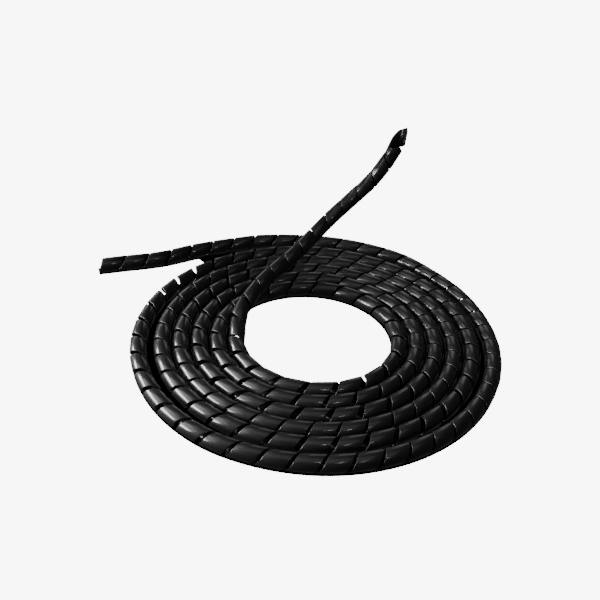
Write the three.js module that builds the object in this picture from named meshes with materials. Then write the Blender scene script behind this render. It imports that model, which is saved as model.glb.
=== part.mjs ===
import * as THREE from 'three';

// Spiral cable wrap: a plastic tube that a helical slit turns into a springy strip, lying in a flat coil.
// Millimetres, +Z up. Seen from above the coil runs clockwise and inwards, and the helix is left-handed.

// Section of the tube
const OUTER_DIAMETER = 10;
const WALL = 1.2;

// An odd number of facets round the tube puts one flat underneath and one corner on top
const FACETS = 7;

// The strip between two passes of the slit, and the slit where it is narrowest
const STRIP_WIDTH = 14;
const SLIT = 0.2;

// Where along the tube the strip first passes its top, and how narrow the strip gets at a cut end
const FIRST_PASS = -4.3;
const SLIVER = 1;

// Both ends are cut off aslant: how far the longest side stands out, and its angle round the tube
const OUTER_SLANT = 3.5;
const OUTER_LONGEST = THREE.MathUtils.degToRad(-56);
const INNER_SLANT = 15;
const INNER_LONGEST = THREE.MathUtils.degToRad(-125);

// How far the slit is pulled open at distances along the wrap, both in tube diameters
const OPENINGS = [
  [0, 0.11],
  [20, 0.12],
  [40, 0],
  [66, 0.19],
  [92, 0.05],
  [110, 0.19],
  [128, 0.05],
  [175, 0],
  [190, 0.18],
  [204, 0],
  [220, 0.2],
  [236, 0.11],
  [248, 0.01],
  [270, 0.06],
  [289, 0.11],
  [308, 0.02],
  [320, 0.02],
  [324, 0.04],
];

// Coil
const TURNS = 5.575;
const EYE_RADIUS = 47.9;
const TURN_GAP = 0.69;
const START_ANGLE = THREE.MathUtils.degToRad(26);
const POINTS_PER_TURN = 24;

// How far the outermost turn bulges out of the even spiral: turns from its start, tube diameters
const LOOSENESS = [
  [0, 0.27],
  [0.08, 0.13],
  [0.17, 0.16],
  [0.29, 0.17],
  [0.39, 0.2],
  [0.47, 0.33],
  [0.57, 0.3],
  [0.68, 0.25],
  [0.8, 0.15],
  [1, 0],
];

// Outer end: how far behind the coil's start and how far inwards, in tube diameters
const OUTER_END = [
  [15.1, 17.26],
  [14.47, 15.9],
  [13.3, 13.36],
  [12.56, 10.49],
  [11.5, 7.69],
  [10.8, 6.22],
  [8.94, 3.84],
  [6.51, 1.7],
  [3.0, 0.14],
];

// Inner end: how far ahead of the coil's end, how far inwards and how far up, in tube diameters
const INNER_END = [
  [0, 0, 0.017],
  [0.6, 0.06, 0.042],
  [1.2, 0.2, 0.1],
  [2.0, 0.42, 0.3],
  [2.85, 0.74, 0.61],
  [3.71, 1.42, 0.95],
  [4.97, 2.58, 1.33],
  [6.08, 3.91, 1.63],
  [7.08, 5.32, 2.03],
  [8.6, 7.22, 2.73],
  [9.15, 8.24, 3.33],
  [9.6, 9.77, 4.43],
  [9.68, 11.13, 5.73],
  [9.65, 12.24, 7.43],
  [9.62, 12.66, 8.5],
  [9.62, 12.77, 9.5],
];

const CORNER_RADIUS = OUTER_DIAMETER / (1 + Math.cos(Math.PI / FACETS));
const FLAT_RADIUS = CORNER_RADIUS * Math.cos(Math.PI / FACETS);
const BORE_RADIUS = CORNER_RADIUS - WALL / Math.cos(Math.PI / FACETS);
const UP = new THREE.Vector3(0, 0, 1);

// The strip is straight across its width, so its edges stand out of a bend, most of all at the coil's eye
const BULGE = STRIP_WIDTH ** 2 / 8 / EYE_RADIUS;

// A value from a list of places and values, eased from each one to the next
function eased(list, place) {
  const next = list.findIndex(([at]) => at > place);
  if (next < 0) return list.at(-1)[1];
  if (next === 0) return list[0][1];
  const [before, after] = [list[next - 1], list[next]];
  return THREE.MathUtils.lerp(before[1], after[1], THREE.MathUtils.smoothstep(place, before[0], after[0]));
}

function coilPoint(turn, loose = 0) {
  const turnPitch = OUTER_DIAMETER + BULGE + TURN_GAP;
  const radius = EYE_RADIUS + (TURNS - turn) * turnPitch + loose * OUTER_DIAMETER;
  const angle = START_ANGLE - turn * 2 * Math.PI;
  return new THREE.Vector3(radius * Math.cos(angle), radius * Math.sin(angle), FLAT_RADIUS);
}

// A free end's point, from its distances to the end of the coil that it carries on from
function endPoint(turn, ahead, inward, up) {
  const heading = coilPoint(turn + 0.001).sub(coilPoint(turn - 0.001)).normalize();
  const right = heading.clone().cross(UP);
  return coilPoint(turn, eased(LOOSENESS, turn))
    .addScaledVector(heading, ahead * OUTER_DIAMETER)
    .addScaledVector(right, inward * OUTER_DIAMETER)
    .addScaledVector(UP, up * OUTER_DIAMETER);
}

// The middle line of the wrap, from its outer end through the coil to its inner end
function middleLine() {
  const points = OUTER_END.map(([behind, inward]) => endPoint(0, -behind, inward, 0));
  const steps = Math.round(TURNS * POINTS_PER_TURN);
  for (let i = 0; i < steps; i++) {
    const turn = TURNS * i / steps;
    points.push(coilPoint(turn, eased(LOOSENESS, turn)));
  }
  points.push(...INNER_END.map(([ahead, inward, up]) => endPoint(TURNS, ahead, inward, up)));
  const curve = new THREE.CatmullRomCurve3(points, false, 'centripetal');
  curve.arcLengthDivisions = 20 * points.length;
  return curve;
}

const line = middleLine();
const length = line.getLength();

// The wrap's middle, its direction, the direction across it and the direction up, at a distance along it
function frameAt(along) {
  const within = THREE.MathUtils.clamp(along, 0, length);
  const tangent = line.getTangentAt(within / length);
  const right = tangent.clone().cross(UP).normalize();
  const up = right.clone().cross(tangent);
  const centre = line.getPointAt(within / length).addScaledVector(tangent, along - within);
  return { centre, tangent, right, up };
}

// How sharply the wrap bends, measured over one tube diameter
function bendAt(along) {
  const [before, after] = [-0.5, 0.5].map((reach) => frameAt(along + reach * OUTER_DIAMETER).tangent);
  return after.distanceTo(before) / OUTER_DIAMETER;
}

// The slit stays narrow on the inside of a bend, so there is more length to a turn of it
function pitchAt(along) {
  const opening = eased(OPENINGS, along / OUTER_DIAMETER) * OUTER_DIAMETER;
  return (STRIP_WIDTH + SLIT + opening) / (1 - OUTER_DIAMETER / 2 * bendAt(along));
}

// How far a slanting cut lies behind its longest side
function slantAt(slant, longest, angle) {
  return slant * (1 - Math.cos(angle - longest)) / 2;
}

// How far along the tube the strip's two edges are, with the ends cut off
function stripEdges(along, angle) {
  const low = slantAt(OUTER_SLANT, OUTER_LONGEST, angle);
  const high = length - slantAt(INNER_SLANT, INNER_LONGEST, angle);
  return [Math.max(along - STRIP_WIDTH / 2, low), Math.min(along + STRIP_WIDTH / 2, high)];
}

// The strip is straight across its width, so a bend is taken up in the slit
function stripCorners(along, angle, low, high) {
  const { centre, tangent, right, up } = frameAt(along);
  const spoke = right.multiplyScalar(Math.cos(angle)).addScaledVector(up, Math.sin(angle));
  const section = [
    [CORNER_RADIUS, low],
    [CORNER_RADIUS, high],
    [BORE_RADIUS, high],
    [BORE_RADIUS, low],
  ];
  return section.map(([radius, edge]) => (
    centre.clone().addScaledVector(spoke, radius).addScaledVector(tangent, edge - along)
  ));
}

// Each step goes one facet round the tube, starting at the corner on top
function stripRows() {
  const rows = [];
  let along = FIRST_PASS;
  for (let step = 0; along < length + STRIP_WIDTH; step++) {
    const angle = Math.PI / 2 + step * 2 * Math.PI / FACETS;
    const [low, high] = stripEdges(along, angle);
    if (high - low > SLIVER) rows.push(stripCorners(along, angle, low, high));
    else if (rows.length > 0) break;
    along += pitchAt(along) / FACETS;
  }
  return rows;
}

function wrapGeometry() {
  const rows = stripRows();
  const positions = rows.flat().flatMap((corner) => corner.toArray());
  const triangles = [];
  for (let i = 0; i < rows.length - 1; i++) {
    for (let side = 0; side < 4; side++) {
      const a = 4 * i + side;
      const b = 4 * i + (side + 1) % 4;
      triangles.push(a, b, b + 4, a, b + 4, a + 4);
    }
  }
  const last = 4 * (rows.length - 1);
  triangles.push(0, 2, 1, 0, 3, 2);
  triangles.push(last, last + 1, last + 2, last, last + 2, last + 3);
  const geometry = new THREE.BufferGeometry();
  geometry.setAttribute('position', new THREE.Float32BufferAttribute(positions, 3));
  geometry.setIndex(triangles);
  geometry.computeVertexNormals();
  return geometry;
}

function blackPlastic() {
  return new THREE.MeshStandardMaterial({ color: 0x0d0d0e, roughness: 0.38, metalness: 0 });
}

// The origin is under the middle of the wrap's box, on the surface that it lies on
function spiralWrap() {
  const geometry = wrapGeometry();
  geometry.computeBoundingBox();
  const middle = geometry.boundingBox.getCenter(new THREE.Vector3());
  geometry.translate(-middle.x, -middle.y, -geometry.boundingBox.min.z);
  const mesh = new THREE.Mesh(geometry, blackPlastic());
  mesh.name = 'spiral_wrap';
  return mesh;
}

const part = new THREE.Group();
part.add(spiralWrap());

export default part;
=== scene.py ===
import math
import bpy
import numpy as np
from mathutils import Matrix, Vector


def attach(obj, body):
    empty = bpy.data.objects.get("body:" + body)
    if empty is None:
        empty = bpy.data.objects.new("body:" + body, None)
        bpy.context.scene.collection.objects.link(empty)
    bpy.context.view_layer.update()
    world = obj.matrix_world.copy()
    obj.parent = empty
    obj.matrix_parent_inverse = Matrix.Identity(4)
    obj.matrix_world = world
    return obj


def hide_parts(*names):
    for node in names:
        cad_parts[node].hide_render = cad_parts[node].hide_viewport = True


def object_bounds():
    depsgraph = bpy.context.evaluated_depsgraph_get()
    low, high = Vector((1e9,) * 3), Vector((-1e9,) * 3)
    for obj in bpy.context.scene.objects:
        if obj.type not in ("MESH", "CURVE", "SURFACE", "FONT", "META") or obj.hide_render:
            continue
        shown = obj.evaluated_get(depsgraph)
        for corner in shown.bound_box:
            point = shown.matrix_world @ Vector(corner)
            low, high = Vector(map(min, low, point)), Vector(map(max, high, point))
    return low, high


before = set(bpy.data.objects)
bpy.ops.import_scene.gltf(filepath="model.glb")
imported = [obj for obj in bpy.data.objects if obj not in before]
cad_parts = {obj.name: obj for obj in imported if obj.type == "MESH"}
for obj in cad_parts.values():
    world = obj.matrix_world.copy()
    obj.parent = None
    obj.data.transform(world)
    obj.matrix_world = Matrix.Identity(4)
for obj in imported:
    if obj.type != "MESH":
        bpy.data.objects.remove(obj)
CAD_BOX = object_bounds()

# The wrap's section, in metres
MM = 0.001
OUTER_DIAMETER = 10 * MM
WALL = 1.2 * MM
RADIUS = OUTER_DIAMETER / 2

# The strip between two passes of the slit, and the slit where it is narrowest
STRIP_WIDTH = 14 * MM
SLIT = 0.2 * MM

# Where along the tube the strip first passes its top, and how narrow the strip gets at a cut end
FIRST_PASS = -4.3 * MM
SLIVER = 1 * MM

# Both ends are cut off aslant: how far the longest side stands out, and its angle round the tube
OUTER_SLANT = 3.5 * MM
OUTER_LONGEST = math.radians(-56)
INNER_SLANT = 15 * MM
INNER_LONGEST = math.radians(-125)

# How far the slit is pulled open at distances along the wrap, both in tube diameters
OPENINGS = [
    (0, 0.11),
    (20, 0.12),
    (40, 0),
    (66, 0.19),
    (92, 0.05),
    (110, 0.19),
    (128, 0.05),
    (175, 0),
    (190, 0.18),
    (204, 0),
    (220, 0.2),
    (236, 0.11),
    (248, 0.01),
    (270, 0.06),
    (289, 0.11),
    (308, 0.02),
    (320, 0.02),
    (324, 0.04),
]

# The coil, clockwise and inwards seen from above
TURNS = 5.575
EYE_RADIUS = 47.9 * MM
TURN_GAP = 0.69 * MM
START_ANGLE = math.radians(26)
POINTS_PER_TURN = 24

# The strip is straight across its width, so its edges stand out of a bend, most of all at the coil's eye
BULGE = STRIP_WIDTH ** 2 / 8 / EYE_RADIUS

# How far the outermost turn bulges out of the even spiral: turns from its start, tube diameters
LOOSENESS = [
    (0, 0.27),
    (0.08, 0.13),
    (0.17, 0.16),
    (0.29, 0.17),
    (0.39, 0.2),
    (0.47, 0.33),
    (0.57, 0.3),
    (0.68, 0.25),
    (0.8, 0.15),
    (1, 0),
]

# Outer end: how far behind the coil's start and how far inwards, in tube diameters
OUTER_END = [
    (15.1, 17.26),
    (14.47, 15.9),
    (13.3, 13.36),
    (12.56, 10.49),
    (11.5, 7.69),
    (10.8, 6.22),
    (8.94, 3.84),
    (6.51, 1.7),
    (3.0, 0.14),
]

# Inner end: how far ahead of the coil's end, how far inwards and how far up, in tube diameters
INNER_END = [
    (0, 0, 0.017),
    (0.6, 0.06, 0.042),
    (1.2, 0.2, 0.1),
    (2.0, 0.42, 0.3),
    (2.85, 0.74, 0.61),
    (3.71, 1.42, 0.95),
    (4.97, 2.58, 1.33),
    (6.08, 3.91, 1.63),
    (7.08, 5.32, 2.03),
    (8.6, 7.22, 2.73),
    (9.15, 8.24, 3.33),
    (9.6, 9.77, 4.43),
    (9.68, 11.13, 5.73),
    (9.65, 12.24, 7.43),
    (9.62, 12.66, 8.5),
    (9.62, 12.77, 9.5),
]

# The part of a turn over which the coil's heading is taken
HEADING_STEP = 0.001

# How finely the wrap is made
SPLINE_STEPS = 24
ROUTE_STEP = 1 * MM
STEPS_ROUND = 40
EDGE_ROUNDING = 0.3 * MM

# The bend is evened out over so many points of the route
BEND_WINDOW = 9

# The plastic: a grained body under a clear gloss
PLASTIC_COLOUR = (0.012, 0.012, 0.013, 1)
BODY_SPECULAR = 0.25
LEAST_ROUGHNESS = 0.44
MOST_ROUGHNESS = 0.52
GLOSS_ROUGHNESS = 0.16
GRAIN_SCALE = 900
GRAIN_DETAIL = 3
GRAIN_STRENGTH = 0.08
GRAIN_DEPTH = 0.1 * MM

# The studio: how far its floor and walls reach, in metres, and their even glow
STUDIO_SIZE = 8.0
FLOOR_COLOUR = (1.0, 0.93, 0.93, 1)
FLOOR_GLOW = 9.0
WORLD_COLOUR = (0.92, 0.913, 0.92, 1)
WORLD_STRENGTH = 0.05
BLACK = (0, 0, 0, 1)

# The painted shade on the floor, a black sheet, under the wrap where its middle line is raised by less
# than LYING_RISE
LYING_RISE = 1 * MM
SHADE_HALF_WIDTH = 4.4 * MM
SHADE_HEIGHT = 0.3 * MM

# The painted shade also lies between middle lines at most this far apart, at least LEAST_TURN further
# along the wrap
SHADE_REACH = 25 * MM
LEAST_TURN = 200 * MM

# Camera: the photograph's view, with the coil's middle as its reference
CAMERA_ELEVATION = math.radians(33.98)
CAMERA_AZIMUTH = math.radians(-19)
CAMERA_DISTANCE = 569 * MM
CAMERA_ROLL = math.radians(3.38)
CAMERA_LENS = 51.0
CAMERA_SENSOR = 36
CAMERA_AIM = (6.65 * MM, 48.82 * MM, 0)

# Black cards that keep light off the back left and the rising end: their corners, as the camera sees
# the scene, in metres to the right, away and up
FLAGS = {
    "over_flag": [(-0.3, 0.03, 0.12), (-0.03, 0.03, 0.12), (-0.03, 0.35, 0.12), (-0.3, 0.35, 0.12)],
    "side_flag": [(-0.2, 0.04, 0.12), (-0.2, 0.35, 0.12), (-0.2, 0.35, 0.3), (-0.2, 0.04, 0.3)],
}

# The softboxes, as the camera sees the scene, in metres to the right, away and up: place, aim, size
# and brightness
SOFTBOXES = {
    "left_core_softbox": ((-0.95, 0.03, 0.3), (0, 0, 0), (1.0, 0.26), 28),
    "left_wide_softbox": ((-0.95, 0.1, 0.6), (0, 0, 0), (1.4, 0.95), 1.7),
    "left_over_softbox": ((-0.75, 0.3, 0.9), (0, 0, 0), (0.8, 0.8), 0.8),
    "left_back_softbox": ((-0.5, 0.9, 0.26), (0, 0, 0), (0.45, 0.5), 0.9),
    "back_softbox": ((0.13, 0.9, 0.34), (0, 0, 0), (0.3, 0.6), 0.55),
    "over_softbox": ((0, -0.3, 1.1), (0, 0, 0), (1.2, 0.9), 0.35),
    "front_strip": ((0.185, -0.456, 0.45), (0, -0.1, 0), (0.12, 0.012), 40),
}

UP = np.array([0.0, 0.0, 1.0])


def unit(v):
    return v / np.linalg.norm(v, axis=-1, keepdims=True)


def eased(places, at):
    """A value from a list of places and values, eased from each one to the next."""
    at = np.clip(at, places[0][0], places[-1][0])
    where, values = np.array(places).T
    i = np.clip(np.searchsorted(where, at, side="right") - 1, 0, len(places) - 2)
    t = (at - where[i]) / (where[i + 1] - where[i])
    return values[i] + (values[i + 1] - values[i]) * t * t * (3 - 2 * t)


def coil_point(turn, loose=0):
    turn_pitch = OUTER_DIAMETER + BULGE + TURN_GAP
    radius = EYE_RADIUS + (TURNS - turn) * turn_pitch + loose * OUTER_DIAMETER
    angle = START_ANGLE - turn * 2 * math.pi
    return np.array([radius * math.cos(angle), radius * math.sin(angle), RADIUS])


def end_point(turn, ahead, inward, up):
    """A free end's point, from its distances to the end of the coil that it carries on from."""
    heading = unit(coil_point(turn + HEADING_STEP) - coil_point(turn - HEADING_STEP))
    right = np.cross(heading, UP)
    place = ahead * heading + inward * right + up * UP
    return coil_point(turn, eased(LOOSENESS, turn)) + OUTER_DIAMETER * place


def spline(points):
    """A smooth line through the points: a centripetal Catmull-Rom curve."""
    points = np.array(points)
    padded = np.vstack([2 * points[0] - points[1], points, 2 * points[-1] - points[-2]])
    out = [points[0]]
    for a, b, c, d in zip(padded, padded[1:], padded[2:], padded[3:]):
        gaps = [math.sqrt(np.linalg.norm(q - p)) for p, q in ((a, b), (b, c), (c, d))]
        knots = np.concatenate([[0], np.cumsum(gaps)])
        for t in np.linspace(knots[1], knots[2], SPLINE_STEPS + 1)[1:]:
            ab = ((knots[1] - t) * a + t * b) / knots[1]
            bc = ((knots[2] - t) * b + (t - knots[1]) * c) / (knots[2] - knots[1])
            cd = ((knots[3] - t) * c + (t - knots[2]) * d) / (knots[3] - knots[2])
            abc = ((knots[2] - t) * ab + t * bc) / knots[2]
            bcd = ((knots[3] - t) * bc + (t - knots[1]) * cd) / (knots[3] - knots[1])
            out.append(((knots[2] - t) * abc + (t - knots[1]) * bcd) / (knots[2] - knots[1]))
    return np.array(out)


def even_steps(line, step):
    """The same line with its points a step apart."""
    along = np.concatenate([[0], np.cumsum(np.linalg.norm(np.diff(line, axis=0), axis=1))])
    at = np.linspace(0, along[-1], round(along[-1] / step) + 1)
    return np.column_stack([np.interp(at, along, line[:, i]) for i in range(3)]), at


class Route:
    """The middle line of the wrap, from its outer end through the coil to its inner end."""

    def __init__(self):
        points = [end_point(0, -behind, inward, 0) for behind, inward in OUTER_END]
        steps = round(TURNS * POINTS_PER_TURN)
        turns = [TURNS * i / steps for i in range(steps)]
        points += [coil_point(turn, eased(LOOSENESS, turn)) for turn in turns]
        points += [end_point(TURNS, *place) for place in INNER_END]
        self.points, self.along = even_steps(spline(points), ROUTE_STEP)
        self.length = self.along[-1]
        self.tangents = unit(np.gradient(self.points, self.along, axis=0))
        bend = np.gradient(self.tangents, self.along, axis=0)
        window = np.ones(BEND_WINDOW) / BEND_WINDOW
        self.bends = np.column_stack([np.convolve(bend[:, i], window, "same") for i in range(3)])

    def at(self, values, along):
        """The route's values, one for each of its points, at distances along it."""
        return np.column_stack([np.interp(along, self.along, values[:, i]) for i in range(3)])


def slant_at(slant, longest, angle):
    """How far a slanting cut lies behind its longest side."""
    return slant * (1 - np.cos(angle - longest)) / 2


def strip_steps(route):
    """Where the strip is at each step round the tube: its angle, its middle and its two edges."""
    along = [FIRST_PASS]
    strengths = np.linalg.norm(route.bends, axis=1)
    while along[-1] < route.length + STRIP_WIDTH / 2:
        bend = np.interp(along[-1], route.along, strengths)
        opening = eased(OPENINGS, along[-1] / OUTER_DIAMETER) * OUTER_DIAMETER
        pitch = (STRIP_WIDTH + SLIT + opening) / (1 - RADIUS * bend)
        along.append(along[-1] + pitch / STEPS_ROUND)
    along = np.array(along)
    angles = math.pi / 2 + 2 * math.pi * np.arange(len(along)) / STEPS_ROUND
    start = slant_at(OUTER_SLANT, OUTER_LONGEST, angles)
    end = route.length - slant_at(INNER_SLANT, INNER_LONGEST, angles)
    low = np.maximum(along - STRIP_WIDTH / 2, start)
    high = np.minimum(along + STRIP_WIDTH / 2, end)
    wide = high - low > SLIVER
    first = np.argmax(wide)
    last = first + np.argmin(wide[first:])
    return [values[first:last] for values in (angles, along, low, high)]


def strip_section():
    """The strip's section: places across it from -1 to 1, insets from its edges, and radii."""
    inner = RADIUS - WALL
    e = EDGE_ROUNDING
    mid = e * (1 - math.sqrt(0.5))
    return [
        (-1, 0, RADIUS - e),
        (-1, mid, RADIUS - mid),
        (-1, e, RADIUS),
        (0, 0, RADIUS),
        (1, e, RADIUS),
        (1, mid, RADIUS - mid),
        (1, 0, RADIUS - e),
        (1, 0, inner + e),
        (1, e, inner),
        (-1, e, inner),
        (-1, 0, inner + e),
    ]


def wrap_vertices(route):
    """The strip is straight across its width, so a bend is taken up in the slit."""
    angles, along, low, high = strip_steps(route)
    tangents = unit(route.at(route.tangents, along))
    beyond = along - np.clip(along, 0, route.length)
    centres = route.at(route.points, along) + tangents * beyond[:, None]
    rights = unit(np.cross(tangents, UP))
    ups = np.cross(rights, tangents)
    spokes = np.cos(angles)[:, None] * rights + np.sin(angles)[:, None] * ups
    rings = []
    for side, inset, radius in strip_section():
        edge = {-1: low + inset, 0: (low + high) / 2, 1: high - inset}[side]
        rings.append(centres + spokes * radius + tangents * (edge - along)[:, None])
    return np.stack(rings, axis=1)


def mesh_object(name, vertices, faces, smooth=True):
    mesh = bpy.data.meshes.new(name)
    mesh.from_pydata([tuple(v) for v in vertices], [], faces)
    mesh.validate()
    if smooth:
        mesh.shade_smooth()
    else:
        mesh.shade_flat()
    obj = bpy.data.objects.new(name, mesh)
    bpy.context.collection.objects.link(obj)
    return obj


def make_wrap(route):
    """The wrap, with its box's middle over the middle of the CAD box, and how far it was shifted."""
    rings = wrap_vertices(route)
    count, across = rings.shape[:2]
    vertices = rings.reshape(-1, 3)
    faces = []
    for i in range(count - 1):
        for j in range(across):
            k = (j + 1) % across
            faces.append((i * across + j, i * across + k, (i + 1) * across + k, (i + 1) * across + j))
    faces.append(tuple(reversed(range(across))))
    faces.append(tuple((count - 1) * across + j for j in range(across)))
    box = (vertices.min(axis=0) + vertices.max(axis=0)) / 2
    cad = [(low + high) / 2 for low, high in zip(*CAD_BOX)]
    shift = np.array([cad[0] - box[0], cad[1] - box[1], 0])
    return mesh_object("wrap", vertices + shift, faces), shift


def make_camera(middle):
    data = bpy.data.cameras.new("camera")
    data.lens = CAMERA_LENS
    data.sensor_width = CAMERA_SENSOR
    camera = bpy.data.objects.new("camera", data)
    bpy.context.collection.objects.link(camera)
    flat = math.cos(CAMERA_ELEVATION)
    back = Vector((
        math.sin(CAMERA_AZIMUTH) * flat,
        -math.cos(CAMERA_AZIMUTH) * flat,
        math.sin(CAMERA_ELEVATION),
    ))
    camera.location = Vector(middle) + Vector(CAMERA_AIM) + back * CAMERA_DISTANCE
    turn = (-back).to_track_quat("-Z", "Y").to_matrix() @ Matrix.Rotation(CAMERA_ROLL, 3, "Z")
    camera.rotation_euler = turn.to_euler()
    bpy.context.scene.camera = camera


def black_plastic():
    material = bpy.data.materials.new("black_plastic")
    material.use_nodes = True
    nodes = material.node_tree.nodes
    links = material.node_tree.links
    shader = nodes["Principled BSDF"]
    shader.inputs["Base Color"].default_value = PLASTIC_COLOUR
    shader.inputs["Specular IOR Level"].default_value = BODY_SPECULAR
    shader.inputs["Coat Weight"].default_value = 1
    shader.inputs["Coat Roughness"].default_value = GLOSS_ROUGHNESS
    noise = nodes.new("ShaderNodeTexNoise")
    noise.inputs["Scale"].default_value = GRAIN_SCALE
    noise.inputs["Detail"].default_value = GRAIN_DETAIL
    span = nodes.new("ShaderNodeMapRange")
    span.inputs["To Min"].default_value = LEAST_ROUGHNESS
    span.inputs["To Max"].default_value = MOST_ROUGHNESS
    links.new(noise.outputs["Fac"], span.inputs["Value"])
    links.new(span.outputs["Result"], shader.inputs["Roughness"])
    bump = nodes.new("ShaderNodeBump")
    bump.inputs["Strength"].default_value = GRAIN_STRENGTH
    bump.inputs["Distance"].default_value = GRAIN_DEPTH
    links.new(noise.outputs["Fac"], bump.inputs["Height"])
    links.new(bump.outputs["Normal"], shader.inputs["Normal"])
    return material


def stage_material(name, colour, glow):
    """A surface that shows one even colour and takes no light."""
    material = bpy.data.materials.new(name)
    material.use_nodes = True
    shader = material.node_tree.nodes["Principled BSDF"]
    shader.inputs["Base Color"].default_value = BLACK
    shader.inputs["Specular IOR Level"].default_value = 0
    shader.inputs["Emission Color"].default_value = colour
    shader.inputs["Emission Strength"].default_value = glow
    return material


def make_stage(name, corners, faces, colour, glow):
    piece = mesh_object(name, corners, faces, smooth=False)
    piece.data.materials.append(stage_material(name, colour, glow))
    piece.visible_glossy = False
    piece.visible_diffuse = False
    return piece


def make_floor():
    """The floor, with walls and a ceiling of the same even tone far away, so that no horizon shows."""
    square = [(-STUDIO_SIZE, -STUDIO_SIZE), (STUDIO_SIZE, -STUDIO_SIZE)]
    square += [(STUDIO_SIZE, STUDIO_SIZE), (-STUDIO_SIZE, STUDIO_SIZE)]
    corners = [(x, y, z) for z in (0, STUDIO_SIZE) for x, y in square]
    walls = [(k, (k + 1) % 4, (k + 1) % 4 + 4, k + 4) for k in range(4)]
    make_stage("floor", corners, [(0, 1, 2, 3), *walls, (4, 5, 6, 7)], FLOOR_COLOUR, FLOOR_GLOW)


def make_shade(route, shift):
    """A drawn shadow, because the glowing floor takes none: black under the wrap and between its turns."""
    lying = route.points[:, 2] < RADIUS + LYING_RISE
    flat = route.points[lying, :2] + shift[:2]
    across = np.column_stack([route.tangents[lying, 1], -route.tangents[lying, 0]]) * SHADE_HALF_WIDTH
    ahead = round(LEAST_TURN / ROUTE_STEP)
    under = list(zip(flat - across, flat + across))
    between = []
    for i in range(len(flat) - ahead):
        gaps = np.linalg.norm(flat[i + ahead:] - flat[i], axis=1)
        if gaps.min() < SHADE_REACH:
            between.append((flat[i], flat[i + ahead + gaps.argmin()]))
    corners = [(*corner, SHADE_HEIGHT) for pair in under + between for corner in pair]
    starts = [2 * k for k in range(len(under) + len(between) - 1) if k != len(under) - 1]
    faces = [(k, k + 1, k + 3, k + 2) for k in starts]
    # Painted shadow: a black sheet on the floor, under the wrap and between its turns
    make_stage("shade", corners, faces, BLACK, 0)


def make_flag(name, corners):
    """A black card that blocks light and that the camera doesn't see."""
    to_part = Matrix.Rotation(CAMERA_AZIMUTH, 4, "Z")
    corners = [to_part @ Vector(corner) for corner in corners]
    flag = make_stage(name, corners, [(0, 1, 2, 3)], BLACK, 0)
    flag.visible_glossy = True
    flag.visible_diffuse = True
    flag.visible_camera = False


def softbox(name, place, aim, size, brightness):
    """A plain light of a given size and brightness, turned from the camera's frame to the part's."""
    to_part = Matrix.Rotation(CAMERA_AZIMUTH, 4, "Z")
    place = to_part @ Vector(place)
    aim = to_part @ Vector(aim)
    data = bpy.data.lights.new(name, "AREA")
    data.shape = "RECTANGLE"
    data.size, data.size_y = size
    data.energy = math.pi * size[0] * size[1] * brightness
    light = bpy.data.objects.new(name, data)
    light.location = place
    light.rotation_euler = (aim - place).to_track_quat("-Z", "Y").to_euler()
    bpy.context.collection.objects.link(light)


def make_world():
    world = bpy.data.worlds.new("studio")
    world.use_nodes = True
    background = world.node_tree.nodes["Background"]
    background.inputs["Color"].default_value = WORLD_COLOUR
    background.inputs["Strength"].default_value = WORLD_STRENGTH
    bpy.context.scene.world = world


route = Route()
wrap, shift = make_wrap(route)
make_camera(shift)
wrap.data.materials.append(black_plastic())
make_floor()
make_shade(route, shift)
for name, corners in FLAGS.items():
    make_flag(name, corners)
make_world()
for name, settings in SOFTBOXES.items():
    softbox(name, *settings)

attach(wrap, "root")
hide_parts("spiral_wrap")
